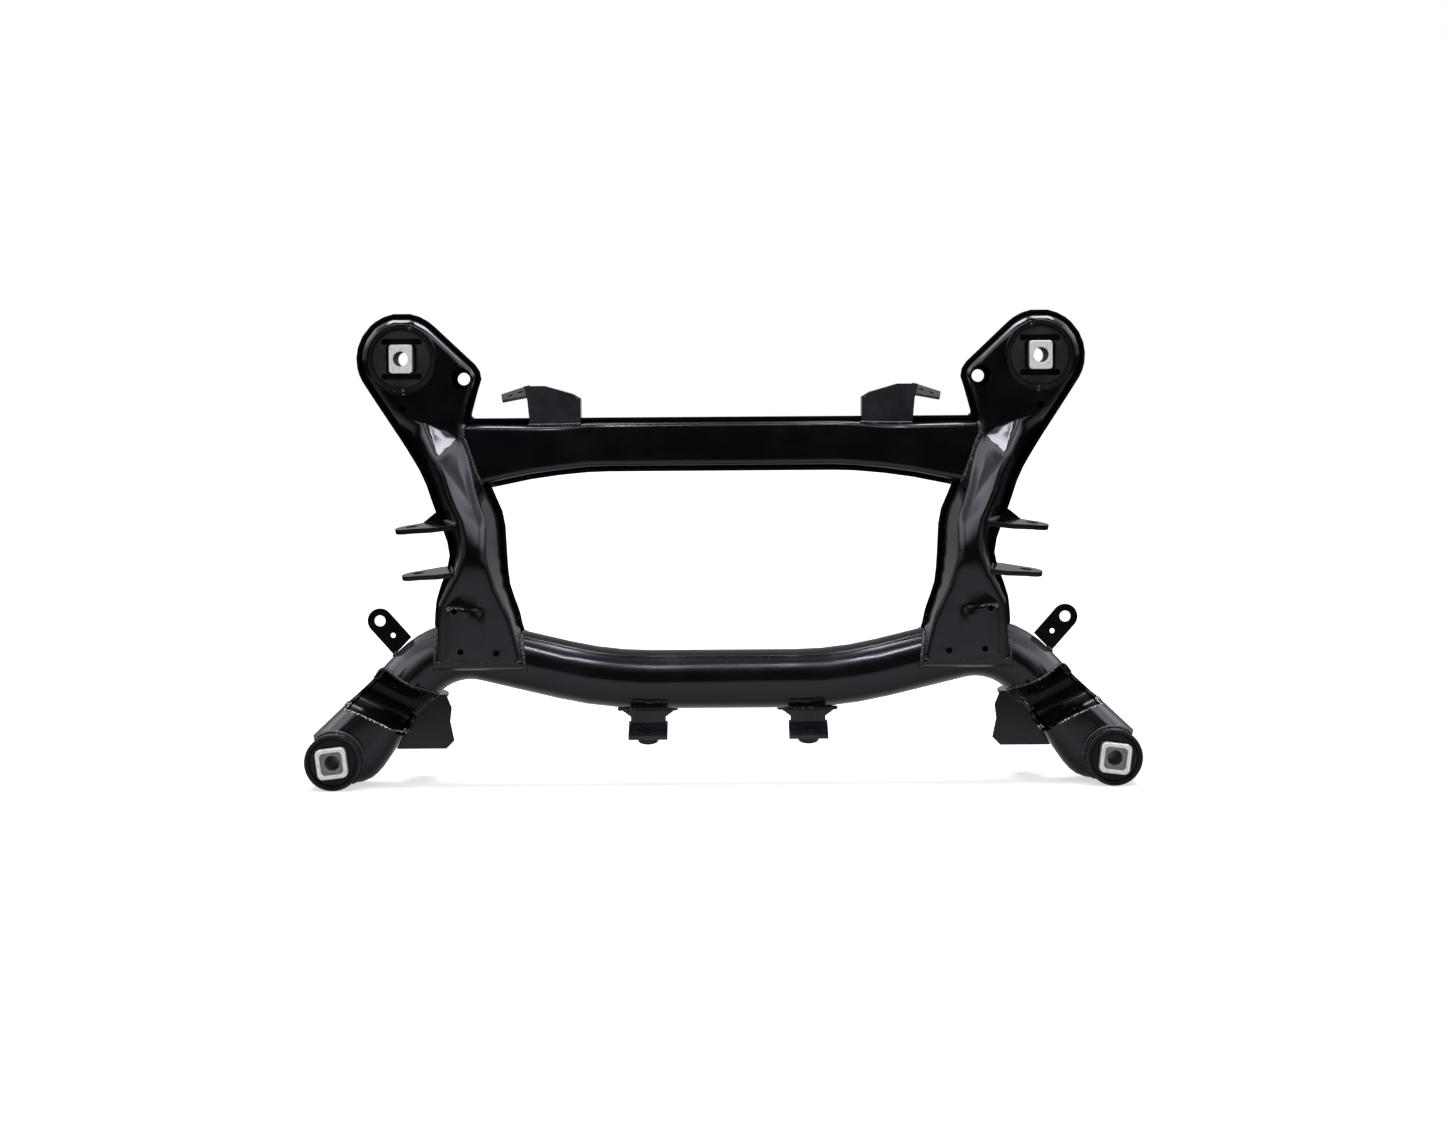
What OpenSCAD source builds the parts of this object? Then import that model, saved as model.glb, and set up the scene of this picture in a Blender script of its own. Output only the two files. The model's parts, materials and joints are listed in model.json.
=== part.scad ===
// Rear axle subframe: pressed side members and a boxed cross member welded to a bent tube,
// with a rubber mount in each corner. It stands on its two lower mounts, front side towards -Y.

/* [Cross tube] */
// Outer diameter of the bent tube
tube_d = 59; // [54:0.5:64]
// Wall of the bent tube
tube_wall = 3.5; // [2.5:0.25:5]
// Height of the tube axis at mid span
tube_z = 104.5; // [98:0.5:110]
// Half length of the straight middle
tube_flat = 71; // [60:1:82]
// Radius of the long upward bend beside the middle
tube_long_r = 380; // [340:5:420]
// Rise of the tube outside the long bend, in degrees
tube_rise = 13.5; // [12:0.25:15]
// Radius of the shoulder bend above the arm
tube_bend_r = 72; // [66:1:80]

/* [Arms] */
// Distance of a lower mount from the middle
arm_bush_x = 386.5; // [379:0.5:396]
// Fall of the arm, in degrees
arm_angle = 46; // [44:0.25:48]
// Distance along the arm from the mount to the tube's end
arm_joint_len = 84; // [80:0.5:88]
// Extra half width of the arm on its inner side, near the mount
arm_flare = 10; // [6:0.5:12]
// Extra half width of the arm on its outer side, near the mount
arm_swell = 4; // [2:0.5:6]
// Sheet of the arm shells
arm_sheet = 3; // [2:0.25:4]
// Width of the press radius across the arm
arm_round = 22; // [18:0.5:26]

/* [Arm trough] */
// Radius of the scoop across the arm
trough_r = 27; // [24:0.5:29]
// Distance of the scoop's axis in front of the arm's axis
trough_out = 17; // [15:0.5:20]
// Distance of the scoop's middle from the end of the tube, towards the mount
trough_back = 4; // [2:0.5:8]
// Slant of the scoop, in degrees
trough_skew = 18; // [14:1:20]
// Sheet of the curved plate in the scoop
trough_sheet = 2.5; // [2:0.25:3.5]

/* [Lower mounts] */
// Outer diameter of the ring that holds a lower mount
arm_housing_d = 56; // [54:0.5:60]
// Wall of the ring
arm_housing_wall = 2.5; // [2:0.25:3]
// Reach of the ring in front of the arm's axis
arm_housing_front = 52; // [46:1:56]
// Reach of the ring behind the arm's axis
arm_housing_back = 40; // [36:1:50]
// Rubber between the sleeve and the flats of the square core
arm_rubber_t = 8.6; // [7.6:0.2:9.6]
// Corner radius of the square core
arm_core_corner = 5.5; // [4:0.5:7]
// Turn of the square core, in degrees
arm_core_turn = 7; // [0:1:12]
// Rim around the square recess in the core's face
arm_core_rim = 4; // [3:0.25:5]
// Depth of the recess
arm_core_recess_depth = 7; // [4:0.5:10]

/* [Upper mounts] */
// Distance of an upper mount from the middle
ear_bush_x = 317; // [312:1:322]
// Height of an upper mount
ear_bush_z = 426; // [420:1:432]
// Radius of the ear around the mount
ear_r = 42.5; // [41:0.5:45]
// Outer diameter of the ring that holds an upper mount
ear_housing_d = 70; // [67:0.5:72]
// Wall of the ring
ear_housing_wall = 2.5; // [2:0.25:3]
// Reach of the ring past the ear's faces
ear_housing_proud = 2; // [1:0.25:3]
// Width of the core
ear_core_w = 22.5; // [20:0.5:25]
// Height of the core
ear_core_h = 28; // [25:0.5:30]
// Corner radius of the core
ear_core_corner = 3; // [2:0.5:5]
// Length of the voids above and below the core
ear_void_w = 40; // [36:0.5:42]
// Height of the voids above and below the core
ear_void_h = 6; // [4:0.5:7]
// Rubber left between the front and back voids
ear_void_web = 6; // [4:0.5:10]
// Width of the grooves beside the core
ear_groove_w = 4; // [3:0.5:5]
// Depth of the grooves beside the core
ear_groove_depth = 12; // [8:0.5:15]

/* [Mounts in general] */
// Bolt hole through each core
core_hole_d = 15; // [13:0.5:16.5]
// Reach of a core past its ring at each end
core_proud = 9; // [6:0.5:14]
// Wall of the pressed-in sleeve
sleeve_wall = 1.5; // [1:0.25:2]
// Depth of the rubber's face below the ring's edge
rubber_recess = 4; // [2:0.5:7]

/* [Side members] */
// Sheet of the side member shells
shell_t = 3; // [2:0.25:3.5]
// Press radius along the edges of the shells
press_r = 6; // [5:0.25:7]
// Overlap of the front and back shells at the seam
seam_lap = 8; // [6:0.5:12]
// Depth of the foot's lower edge below the tube's shoulder
foot_drop = 18; // [15:0.5:21]
// Gap between the tube and the foot's front face
foot_stand = 8; // [6:0.5:10]
// Height of the raised part of the foot
instep_rise = 68; // [64:1:72]
// Height of the crest, where the member stands furthest forward
crest_z = 230; // [226:1:234]
// Height of the lower end of the facet under the ear
neck_z = 316; // [312:1:320]
// Height of the upper end of the facet under the ear
brow_z = 349; // [346:1:354]
// Reach of the crest in front of the tube's axis
crest_front = 55; // [51:0.5:58]
// Reach of the neck's outer edge in front of the tube's axis
neck_front = 44; // [41:0.5:47]
// Reach of the ear's face in front of the tube's axis
ear_front = 14; // [11:0.5:17]
// Reach of the ear's face behind the tube's axis
ear_back = 26; // [23:0.5:30]
// Reach of the leg behind the tube's axis
leg_back = 31; // [28:0.5:36]
// Outer edge of the foot
foot_out = 285.5; // [283:0.5:289]
// Inner edge of the foot
foot_in = 197; // [194:0.5:200]
// Outer edge of the crest
crest_out = 269; // [266:0.5:272]
// Inner edge of the crest
crest_in = 217.5; // [215:0.5:220]
// Outer edge of the neck
neck_out = 298; // [295:0.5:301]
// Reach of the neck's inner edge in front of the tube's axis
neck_inner_front = 23; // [20:0.5:26]
// Slope of the leg's sides, from its outline to its front face at the crest
crest_draft = 11; // [9:0.5:13]
// Slope of the leg's outer side at the facet under the ear
neck_draft = 16; // [14:0.5:18]
// Radius of the ear's inner corner
corner_r = 16.5; // [15:0.5:18]
// Distance of the ear's inner corner from the middle
corner_x = 258; // [255:0.5:261]
// Height of the ear's inner corner
corner_z = 406; // [403:0.5:409]
// Clearance hole in the ear's front face, inside its corner
corner_front_d = 21; // [18:0.5:22]
// Bolt hole in the ear's back face, inside its corner
corner_back_d = 12.5; // [10:0.5:14]
// Height of the raised pad on the foot
pad_h = 4; // [3:0.25:5]
// Width of the raised pad on the foot
pad_w = 37.5; // [34:0.5:40]
// Radius of the pad's upper inner corner
pad_round = 16; // [12:0.5:20]
// Tooling holes in the foot
foot_hole_d = 6; // [5:0.25:7]
// Drain hole below the upper mount
drain_hole_d = 7; // [5:0.5:9]

/* [Rear cross member] */
// Height of the cross member's upper rear edge
cross_top = 363.5; // [361:0.5:366]
// Height of the cross member's lower edge in the middle
cross_low = 315.5; // [313:0.5:318]
// Drop of the lower edge at the ends
cross_end_drop = 16; // [13:0.5:19]
// Reach of the cross member in front of the tube's axis
cross_front = 13; // [11:0.5:14]
// Reach of the cross member behind the tube's axis
cross_back = 32; // [28:0.5:36]
// Drop of the upper front edge below the upper rear edge
cross_lip = 4.5; // [3.5:0.5:6]
// Swing of the upper front edge between the middle and the ends
cross_lip_wave = 2; // [1:0.25:2.25]
// Depth of the front face's middle behind its ends
cross_dish = 5; // [3:0.5:7]
// Inner edge of the side member at the cross member's top
cross_top_x = 251.5; // [249:0.5:254]
// Inner edge of the side member at the cross member's lower end
cross_low_x = 233; // [231:0.5:235]

/* [Upper link clevis] */
// Height of the clevis at the middle of its gap
clevis_z = 234; // [230:0.5:238]
// Clear gap between the clevis plates
clevis_gap = 42; // [38:0.5:46]
// Thickness of a clevis plate
clevis_t = 5; // [4:0.25:6]
// Distance of the clevis bolt from the middle
clevis_bolt_x = 305; // [301:0.5:308]
// Reach of the clevis bolt in front of the tube's axis
clevis_bolt_front = 15; // [12:0.5:17]
// Bolt hole of the clevis
clevis_hole_d = 12.5; // [10:0.5:14]
// Radius of the plates' outer end
clevis_end_r = 17; // [15:0.5:19]
// Fall of the plates towards their outer end, in degrees
clevis_fall = 7; // [5:0.5:9]
// Tilt of the plates towards the front, in degrees
clevis_tilt = 5.5; // [3:0.5:8]
// Width of the upturned lug on the rear plate
clevis_lug_w = 34; // [30:0.5:38]
// Height of the upturned lug on the rear plate
clevis_lug_h = 13; // [10:0.5:16]

/* [Lower link bracket] */
// Distance of the lower link's bolt from the lower mount, towards the middle
low_bolt_in = 85.5; // [82:0.5:89]
// Distance of the lower link's bolt behind the web
low_bolt_back = 33; // [29:0.5:37]
// Height of the bracket's lower face
low_z = 33; // [30:0.5:36]
// Clear gap between the bracket's ears
low_gap = 47; // [44:0.5:50]
// Sheet of the bracket
low_t = 4; // [3:0.25:5]
// Half width of the bracket
low_half_w = 29; // [26:0.5:31]
// Bolt hole of the bracket
low_hole_d = 12.5; // [10:0.5:14]

/* [Stabiliser brackets] */
// Distance of a bracket's middle from the middle of the subframe
stab_x = 172; // [168:0.5:177]
// Width of a bracket's web
stab_w = 48; // [44:0.5:52]
// Height of a bracket above the cross member
stab_h = 35; // [32:0.5:38]
// Sheet of a bracket
stab_t = 3; // [2:0.25:4]
// Depth of a bracket's folded top
stab_depth = 30; // [26:0.5:32]
// Reach of the wing past the web
stab_wing = 26; // [24:0.5:30]
// Fall of the wing, in degrees
stab_wing_fall = 18; // [12:1:22]
// Slope of the wing towards the front, in degrees
stab_wing_tilt = 20; // [14:1:24]
// Width of the folded inner edge
stab_fold = 8; // [6:0.5:10]
// Bolt holes in the wing
stab_hole_d = 5.5; // [4.5:0.25:6.5]

/* [Line tabs] */
// Direction of a tab from the centre of the shoulder bend, in degrees
tab_angle = 48.5; // [46:0.5:51]
// Reach of a tab past the tube
tab_reach = 47; // [44:0.5:52]
// Width of a tab
tab_w = 25; // [22:0.5:28]
// Sheet of a tab
tab_t = 3; // [2:0.25:4]
// Large hole near the tab's end
tab_hole_d = 11; // [9:0.5:12]
// Small hole in the tab
tab_small_hole_d = 5; // [4:0.25:6]
// Distance between the two holes
tab_hole_step = 19.5; // [17:0.5:22]

/* [Differential brackets] */
// Distance between the two brackets
diff_spacing = 160; // [154:1:166]
// Offset of the pair from the middle
diff_offset = 5; // [2:0.5:8]
// Width of a bracket's web at the tube
diff_top_w = 58; // [55:0.5:61]
// Width of the shelf
diff_shelf_w = 39; // [36:0.5:42]
// Distance of the shelf's root below the tube
diff_drop = 14; // [12:0.5:17]
// Depth of the shelf
diff_shelf_depth = 32; // [29:0.5:35]
// Tilt of the shelf towards the front, in degrees
diff_tilt = 20; // [16:0.5:23]
// Sheet of a bracket
diff_t = 4; // [3:0.25:5]
// Hole in the shelf
diff_hole_d = 16; // [14:0.5:17]
// Outer diameter of the weld nut under the shelf
diff_nut_d = 21; // [20:0.5:24]
// Height of the weld nut
diff_nut_h = 8; // [6:0.5:10]
// Thread core hole of the weld nut
diff_nut_hole_d = 10.2; // [8.5:0.1:12]

/* [Fits] */
// Gap between the tube and the rims that are welded to it
seat_gap = 0.6; // [0.4:0.05:0.8]
// Gap between pieces that are pressed or welded together
fit = 0.2; // [0.1:0.05:0.3]

/* [Hidden] */
$fn = 64;
left = -1;
right = 1;
paint = [0.09, 0.09, 0.1];
rubber = [0.05, 0.05, 0.05];
bare_metal = [0.72, 0.73, 0.75];
through = 400;

// The tube's path on the right: straight middle, long bend, rise, shoulder bend, arm
tube_r = tube_d / 2;
arm_z = arm_housing_d / 2;
turn = tube_rise + arm_angle;
rise_x = tube_flat + tube_long_r * sin(tube_rise);
rise_z = tube_z + tube_long_r * (1 - cos(tube_rise));
knee_x = (arm_z + arm_bush_x * tan(arm_angle) - rise_z + rise_x * tan(tube_rise))
  / (tan(tube_rise) + tan(arm_angle));
knee_z = rise_z + (knee_x - rise_x) * tan(tube_rise);
bend_run = tube_bend_r * tan(turn / 2);
arm_len = (arm_bush_x - knee_x) / cos(arm_angle) - bend_run;
bend_x = knee_x - bend_run * cos(tube_rise) + tube_bend_r * sin(tube_rise);
bend_z = knee_z - bend_run * sin(tube_rise) - tube_bend_r * cos(tube_rise);
shoulder_z = bend_z + tube_bend_r;

// Places of the scoop along the arm and of the lower link bracket behind it
trough_at = arm_joint_len - trough_back;
low_bolt_x = arm_bush_x - low_bolt_in;
low_web_y = tube_r - low_t / 2;
low_ear_len = low_bolt_back + low_half_w * 0.7;

// Shift that puts the origin under the middle of the subframe's depth
depth_shift = (arm_housing_front + core_proud - low_web_y - low_t - low_ear_len) / 2;

// Heights and edges of the side member
foot_z = shoulder_z - foot_drop;
instep_z = foot_z + instep_rise;
foot_front = tube_r + foot_stand;
instep_front = foot_front + 1.5 * press_r;
foot_tilt = atan((instep_front - foot_front) / instep_rise);
cross_end_z = cross_low - cross_end_drop;
// The leg's outer edge runs into the ear's round at this angle below the mount, in degrees
ear_lean = 37;
ear_out_z = ear_bush_z - ear_r * sin(ear_lean);
ear_out_x = ear_bush_x + ear_r * cos(ear_lean);
corner_gap = [corner_x - ear_bush_x, corner_z - ear_bush_z];
slope_dir = 360 + atan2(corner_gap[1], corner_gap[0]) - acos((ear_r - corner_r) / norm(corner_gap));
corner_top_x = corner_x + corner_r * cos(slope_dir);
corner_top_z = corner_z + corner_r * sin(slope_dir);
slope_top_x = ear_bush_x + ear_r * cos(slope_dir);
slope_top_z = ear_bush_z + ear_r * sin(slope_dir);
ear_top_z = ear_bush_z + ear_r;

shank = neck_z - crest_z;
leg_outer_edge = [
  [foot_z, foot_out],
  [instep_z, foot_out - press_r / 2],
  [crest_z, crest_out],
  [crest_z + 0.58 * shank, (crest_out + neck_out) / 2 + 1],
  [neck_z, neck_out],
  [ear_out_z, ear_out_x]
];
leg_inner_edge = [
  [foot_z, foot_in],
  [foot_z + 0.73 * instep_rise, foot_in + 0.34 * (crest_in - foot_in)],
  [foot_z + 1.2 * instep_rise, crest_in - 0.15 * (crest_in - foot_in)],
  [crest_z, crest_in],
  [cross_end_z - 0.35 * shank, crest_in + 0.2 * (cross_low_x - crest_in)],
  [cross_end_z, cross_low_x],
  [cross_top, cross_top_x],
  [corner_z - corner_r, (cross_top_x + corner_x - corner_r) / 2],
  [corner_z, corner_x - corner_r]
];
// Distance of the front face's edge from the outline, at the outer and inner side
outer_draft = [
  [foot_z, press_r / 2], [instep_z, press_r / 2], [crest_z, crest_draft],
  [crest_z + 0.3 * shank, neck_draft], [neck_z - 0.4 * shank, (crest_draft + 2 * neck_draft) / 3],
  [neck_z, neck_draft], [brow_z, 1.25 * neck_draft],
  [brow_z + 0.15 * shank, press_r], [ear_top_z, press_r / 2]
];
inner_draft = [
  [foot_z, press_r / 2], [instep_z, press_r], [crest_z, 1.4 * crest_draft],
  [cross_end_z, 1.2 * crest_draft], [cross_top, press_r], [corner_z, press_r / 2], [ear_top_z, press_r / 2]
];
// Reach of the front face at the outer and inner side, and of the back face
outer_reach = [
  [foot_z, foot_front], [instep_z, instep_front], [crest_z, crest_front],
  [neck_z, neck_front], [brow_z, ear_front], [ear_top_z, ear_front]
];
inner_reach = [
  [foot_z, foot_front], [instep_z, instep_front], [crest_z, crest_front],
  [(crest_z + neck_z) / 2, neck_front], [neck_z, neck_inner_front],
  [brow_z, ear_front], [ear_top_z, ear_front]
];
back_reach = [
  [foot_z, foot_front], [instep_z, foot_front], [crest_z, leg_back],
  [brow_z, ear_back], [ear_top_z, ear_back]
];
leg_levels = concat(
  [foot_z],
  [for (f = [0.12, 0.19, 0.34, 0.5, 0.65, 0.78, 0.88, 0.94, 1]) foot_z + f * instep_rise],
  spread(instep_z, crest_z, 3),
  spread(crest_z, neck_z, 6),
  spread(neck_z, brow_z, 4),
  spread(brow_z, corner_z, 5),
  spread(corner_z, corner_top_z, 2),
  spread(corner_top_z, slope_top_z, 4),
  [for (a = [55, 67, 79]) ear_bush_z + ear_r * sin(a)]
);

// Equal steps from a to b, without a itself
function spread(a, b, n) = [for (i = [1:n]) a + (b - a) * i / n];

function unit(v) = v / norm(v);

// Slope of a table of [place, value] rows at row i
function slope_at(rows, i) =
  let (a = max(i - 1, 0), b = min(i + 1, len(rows) - 1))
  (rows[b][1] - rows[a][1]) / (rows[b][0] - rows[a][0]);

// Smooth curve through the rows of a table
function curve(rows, s) =
  let (
    last = len(rows) - 2,
    below = [for (k = [0:last]) if (rows[k][0] <= s) k],
    i = len(below) == 0 ? 0 : below[len(below) - 1],
    run = rows[i + 1][0] - rows[i][0],
    u = (s - rows[i][0]) / run,
    v = 1 - u
  )
  rows[i][1] * v * v * (1 + 2 * u) + rows[i + 1][1] * u * u * (3 - 2 * u)
  + run * u * v * (slope_at(rows, i) * v - slope_at(rows, i + 1) * u);

// Press radius of a skin that lies deep inside the outer skin
function skin_r(deep) = press_r - 0.7 * deep;

// Point on the rounded corner b between a and c
function corner_point(a, b, c, u) = a * (1 - u) * (1 - u) + b * 2 * u * (1 - u) + c * u * u;

// Inward direction of a closed outline at point i, anticlockwise as seen from the front
function inward(line, i) =
  let (n = len(line), step = line[(i + 1) % n] - line[(i + n - 1) % n])
  unit([-step[1], step[0]]);

// Wall of a pressed shell at one outline point: rim, then the rounded edge up to the face
function pressed_wall(base, edge, dir, rim_y, face_y, r, n) =
  let (
    rim = [base[0], rim_y, base[1]],
    tip = [edge[0], face_y, edge[1]],
    from = tip + r * unit(rim - tip),
    to = tip + r * [dir[0], 0, dir[1]]
  )
  concat([rim], [for (k = [0:n]) corner_point(from, tip, to, k / n)]);

// Wall of a shell whose section is round from rim to face
function round_wall(base, edge, rim_y, face_y, n) =
  let (
    rim = [base[0], rim_y, base[1]],
    tip = [base[0], face_y, base[1]],
    to = [edge[0], face_y, edge[1]]
  )
  [for (k = [0:n]) corner_point(rim, tip, to, k / n)];

function split(q) = [[q[0], q[1], q[2]], [q[0], q[2], q[3]]];

function turned(q) = [q[3], q[2], q[1], q[0]];

// Closed sheet between an outer and an inner skin, each a list of walls around an outline.
// The first half of the list runs up one side and the second half runs back on the other.
// A crown gives, for each level between the ends, points across the outer and inner face.
module sheet(outer, inner, open_start = false, open_end = false, crown = [[], []]) {
  n = len(outer);
  half = n / 2;
  rows = len(outer[0]);
  t = rows - 1;
  cols = len(crown[0]) == 0 ? 0 : len(crown[0][0]);
  function o(i, k) = i * rows + k;
  function s(i, k) = n * rows + i * rows + k;
  // Point c across the face at level i, on the outer or inner skin
  function across(i, c, deep) =
    c == 0 ? (deep ? s(i, t) : o(i, t))
    : c == cols + 1 ? (deep ? s(n - 1 - i, t) : o(n - 1 - i, t))
    : 2 * n * rows + (deep ? len(crown[0]) * cols : 0) + i * cols + c - 1;
  sides = concat(
    [for (i = [0:half - 2]) i],
    [for (i = [half:n - 2]) i],
    open_end ? [] : [half - 1],
    open_start ? [] : [n - 1]
  );
  walls = [for (i = sides, k = [0:rows - 2]) let (j = (i + 1) % n)
    each [[o(i, k), o(i, k + 1), o(j, k + 1), o(j, k)], [s(i, k), s(j, k), s(j, k + 1), s(i, k + 1)]]];
  rims = [for (i = sides) let (j = (i + 1) % n) [o(i, 0), o(j, 0), s(j, 0), s(i, 0)]];
  first = cols == 0 ? 0 : 1;
  faces = [for (i = [first:half - 2 - first], c = [0:cols]) let (
      a = [for (d = [false, true]) across(i, c, d)],
      b = [for (d = [false, true]) across(i + 1, c, d)],
      e = [for (d = [false, true]) across(i + 1, c + 1, d)],
      f = [for (d = [false, true]) across(i, c + 1, d)]
    )
    each [[e[0], b[0], a[0], f[0]], [e[1], f[1], a[1], b[1]]]];
  // Fans that close a crowned face at its two ends
  mid = floor((cols + 1) / 2);
  function fan(i, j, deep, flip) =
    let (turned_over = deep != flip)
    [for (tri = concat(
        [for (c = [0:cols])
          [across(i, c, deep), across(i, c + 1, deep), across(j, c < mid ? 0 : cols + 1, deep)]],
        [[across(i, mid, deep), across(j, cols + 1, deep), across(j, 0, deep)]]
      )) turned_over ? [tri[2], tri[1], tri[0]] : tri];
  fans = cols == 0 ? [] : concat(
    fan(1, 0, false, true), fan(1, 0, true, true),
    fan(half - 2, half - 1, false, false), fan(half - 2, half - 1, true, false)
  );
  function end_strip(i) = [for (k = [0:rows - 2]) [o(i, k), o(i, k + 1), s(i, k + 1), s(i, k)]];
  function end_bar(i, j) = [[o(i, t), o(j, t), s(j, t), s(i, t)]];
  end_faces = !open_end ? [] : concat(
    end_strip(half - 1), [for (q = end_strip(half)) turned(q)], end_bar(half - 1, half));
  start_faces = !open_start ? [] : concat(
    end_strip(n - 1), [for (q = end_strip(0)) turned(q)], end_bar(n - 1, 0));
  polyhedron(
    points = concat(
      [for (skin = [outer, inner], wall = skin, p = wall) p],
      [for (skin = crown, level = skin, p = level) p]
    ),
    faces = concat([for (q = concat(walls, rims, faces, end_faces, start_faces)) each split(q)], fans)
  );
}

// Solid body inside a skin, closed straight across its rim
module lump(outer) {
  n = len(outer);
  half = n / 2;
  rows = len(outer[0]);
  t = rows - 1;
  function o(i, k) = i * rows + k;
  walls = [for (i = [0:n - 1], k = [0:rows - 2]) let (j = (i + 1) % n)
    [o(i, k), o(i, k + 1), o(j, k + 1), o(j, k)]];
  faces = [for (i = [0:half - 2]) let (a = i, b = i + 1, c = n - 2 - i, d = n - 1 - i)
    each [[o(c, t), o(b, t), o(a, t), o(d, t)], [o(c, 0), o(d, 0), o(a, 0), o(b, 0)]]];
  polyhedron(
    points = [for (wall = outer, p = wall) p],
    faces = [for (q = concat(walls, faces)) each split(q)]
  );
}

module on_side(side) {
  if (side == left) mirror([1, 0, 0]) children();
  else children();
}

// Frame of the arm: origin at the lower mount, +Z up the arm, +X to its outer side
module along_arm() translate([arm_bush_x, 0, arm_z]) rotate([0, arm_angle - 90, 0]) children();

// Rod or hole along Y between two reaches
module rod(d, front, back) translate([0, back, 0]) rotate([90, 0, 0]) cylinder(d = d, h = front + back);

module ring(d_outer, d_inner, front, back) {
  difference() {
    rod(d_outer, front, back);
    rod(d_inner, front + 1, back + 1);
  }
}

module rounded_block(w, h, r, front, back) {
  translate([0, back, 0]) rotate([90, 0, 0]) linear_extrude(front + back) rounded_rect(w, h, r);
}

module rounded_rect(w, h, r) {
  polygon([for (q = [0:3], k = [0:6]) let (a = q * 90 + k * 15, sx = q == 0 || q == 3 ? 1 : -1,
    sz = q < 2 ? 1 : -1) [sx * (w / 2 - r) + r * cos(a), sz * (h / 2 - r) + r * sin(a)]]);
}

// Stations along the right half of the tube's axis, as [x, z, direction in degrees]
function tube_half(arm_end) = concat(
  [[tube_flat, tube_z, 0]],
  [for (k = [1:3]) let (a = tube_rise * k / 3)
    [tube_flat + tube_long_r * sin(a), tube_z + tube_long_r * (1 - cos(a)), a]],
  [for (k = [0:8]) let (a = tube_rise - turn * k / 8)
    [bend_x - tube_bend_r * sin(a), bend_z + tube_bend_r * cos(a), a]],
  [[arm_bush_x - arm_end * cos(arm_angle), arm_z + arm_end * sin(arm_angle), -arm_angle]]
);

function tube_path(arm_end) =
  let (half = tube_half(arm_end), last = len(half) - 1)
  concat([for (k = [last:-1:0]) [-half[k][0], half[k][1], -half[k][2]]], half);

// Rings of points around a path
tube_sides = 28;
function rings(path, r) = [for (p = path) [for (k = [0:tube_sides - 1]) let (a = 360 * k / tube_sides)
  [p[0] - r * cos(a) * sin(p[2]), r * sin(a), p[1] + r * cos(a) * cos(p[2])]]];

// Pipe between two skins of rings
module pipe(outer, inner) {
  last = len(outer) - 1;
  n = tube_sides;
  function o(i, k) = i * n + k % n;
  function s(i, k) = (last + 1 + i) * n + k % n;
  walls = [for (i = [0:last - 1], k = [0:n - 1])
    each [[o(i, k), o(i, k + 1), o(i + 1, k + 1), o(i + 1, k)],
      [s(i, k), s(i + 1, k), s(i + 1, k + 1), s(i, k + 1)]]];
  ends = [for (k = [0:n - 1])
    each [[o(0, k + 1), o(0, k), s(0, k), s(0, k + 1)],
      [o(last, k), o(last, k + 1), s(last, k + 1), s(last, k)]]];
  polyhedron(
    points = [for (skin = [outer, inner], ring = skin, p = ring) p],
    faces = [for (q = concat(walls, ends)) each split(q)]
  );
}

// Distance of a place beside the shoulder from the tube's axis, seen from the front
function axis_gap(p) =
  let (
    out = [p[0] - bend_x, p[1] - bend_z],
    heading = atan2(-out[0], out[1]),
    rise_gap = abs((p[1] - rise_z) * cos(tube_rise) - (p[0] - rise_x) * sin(tube_rise))
  )
  heading > tube_rise ? rise_gap : abs(norm(out) - tube_bend_r);

// Where the rim of a shell stops: at the seam, or at the tube where the tube is in the way
function rim_at(p) =
  let (room = tube_r + seat_gap, d = axis_gap(p))
  d < room ? -sqrt(room * room - d * d) : seam_lap / 2;

// Room around the shoulder bend
module shoulder_room() {
  translate([bend_x, 0, bend_z]) rotate([90, 0, 0]) rotate([0, 0, 90 - arm_angle])
    rotate_extrude(angle = turn) translate([tube_bend_r, 0]) circle(tube_r + fit);
}

module trough_rod(r) {
  along_arm() translate([0, -trough_out, trough_at]) rotate([0, 90 + trough_skew, 0])
    cylinder(r = r, h = 4 * tube_d, center = true);
}

module front_cross_tube() {
  color(paint) difference() {
    pipe(rings(tube_path(arm_joint_len), tube_r), rings(tube_path(arm_joint_len), tube_r - tube_wall));
    for (side = [left, right]) on_side(side) trough_rod(trough_r);
  }
}

// Outline of the arm in its own frame, up the outer side and back down the inner side
arm_steps = [0, 0.07, 0.15, 0.24, 0.34, 0.46, 0.6, 0.75, 0.88, 1];
arm_top = arm_joint_len - fit;
arm_low = -arm_flare / 2;
arm_inner_edge = [
  [arm_low, -arm_z - 0.3 * arm_flare], [0.3 * arm_flare, -tube_r - 0.7 * arm_flare],
  [1.2 * arm_flare, -tube_r - arm_flare], [2.6 * arm_flare, -tube_r - arm_flare], [arm_top, -tube_r]
];
function arm_outline(grow) = concat(
  [for (s = arm_steps) [tube_r + arm_swell * (1 - s) + grow, arm_top * s]],
  [for (k = [len(arm_steps) - 1:-1:0]) let (t = arm_low + (arm_top - arm_low) * arm_steps[k])
    [curve(arm_inner_edge, t) - grow, t]]
);
function arm_walls(deep, grow) =
  let (line = arm_outline(grow))
  [for (i = [0:len(line) - 1]) let (
      dir = [i < len(arm_steps) ? -1 : 1, 0],
      base = line[i] + deep * dir,
      edge = line[i] + arm_round * dir
    )
    round_wall(base, edge, 0, -tube_r - grow + deep, 5)];

module arm_shell() {
  color(paint) difference() {
    sheet(arm_walls(0, 0), arm_walls(arm_sheet, 0), open_start = true, open_end = true);
    rod(arm_housing_d + 2 * fit, through, through);
  }
}

module arm_room() {
  along_arm() for (turn_back = [0, 1]) mirror([0, turn_back, 0]) lump(arm_walls(0, fit));
}

module arm_front_shell(side) {
  on_side(side) color(paint) difference() {
    along_arm() translate([0, -fit / 2, 0]) arm_shell();
    trough_rod(trough_r);
  }
}

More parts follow.
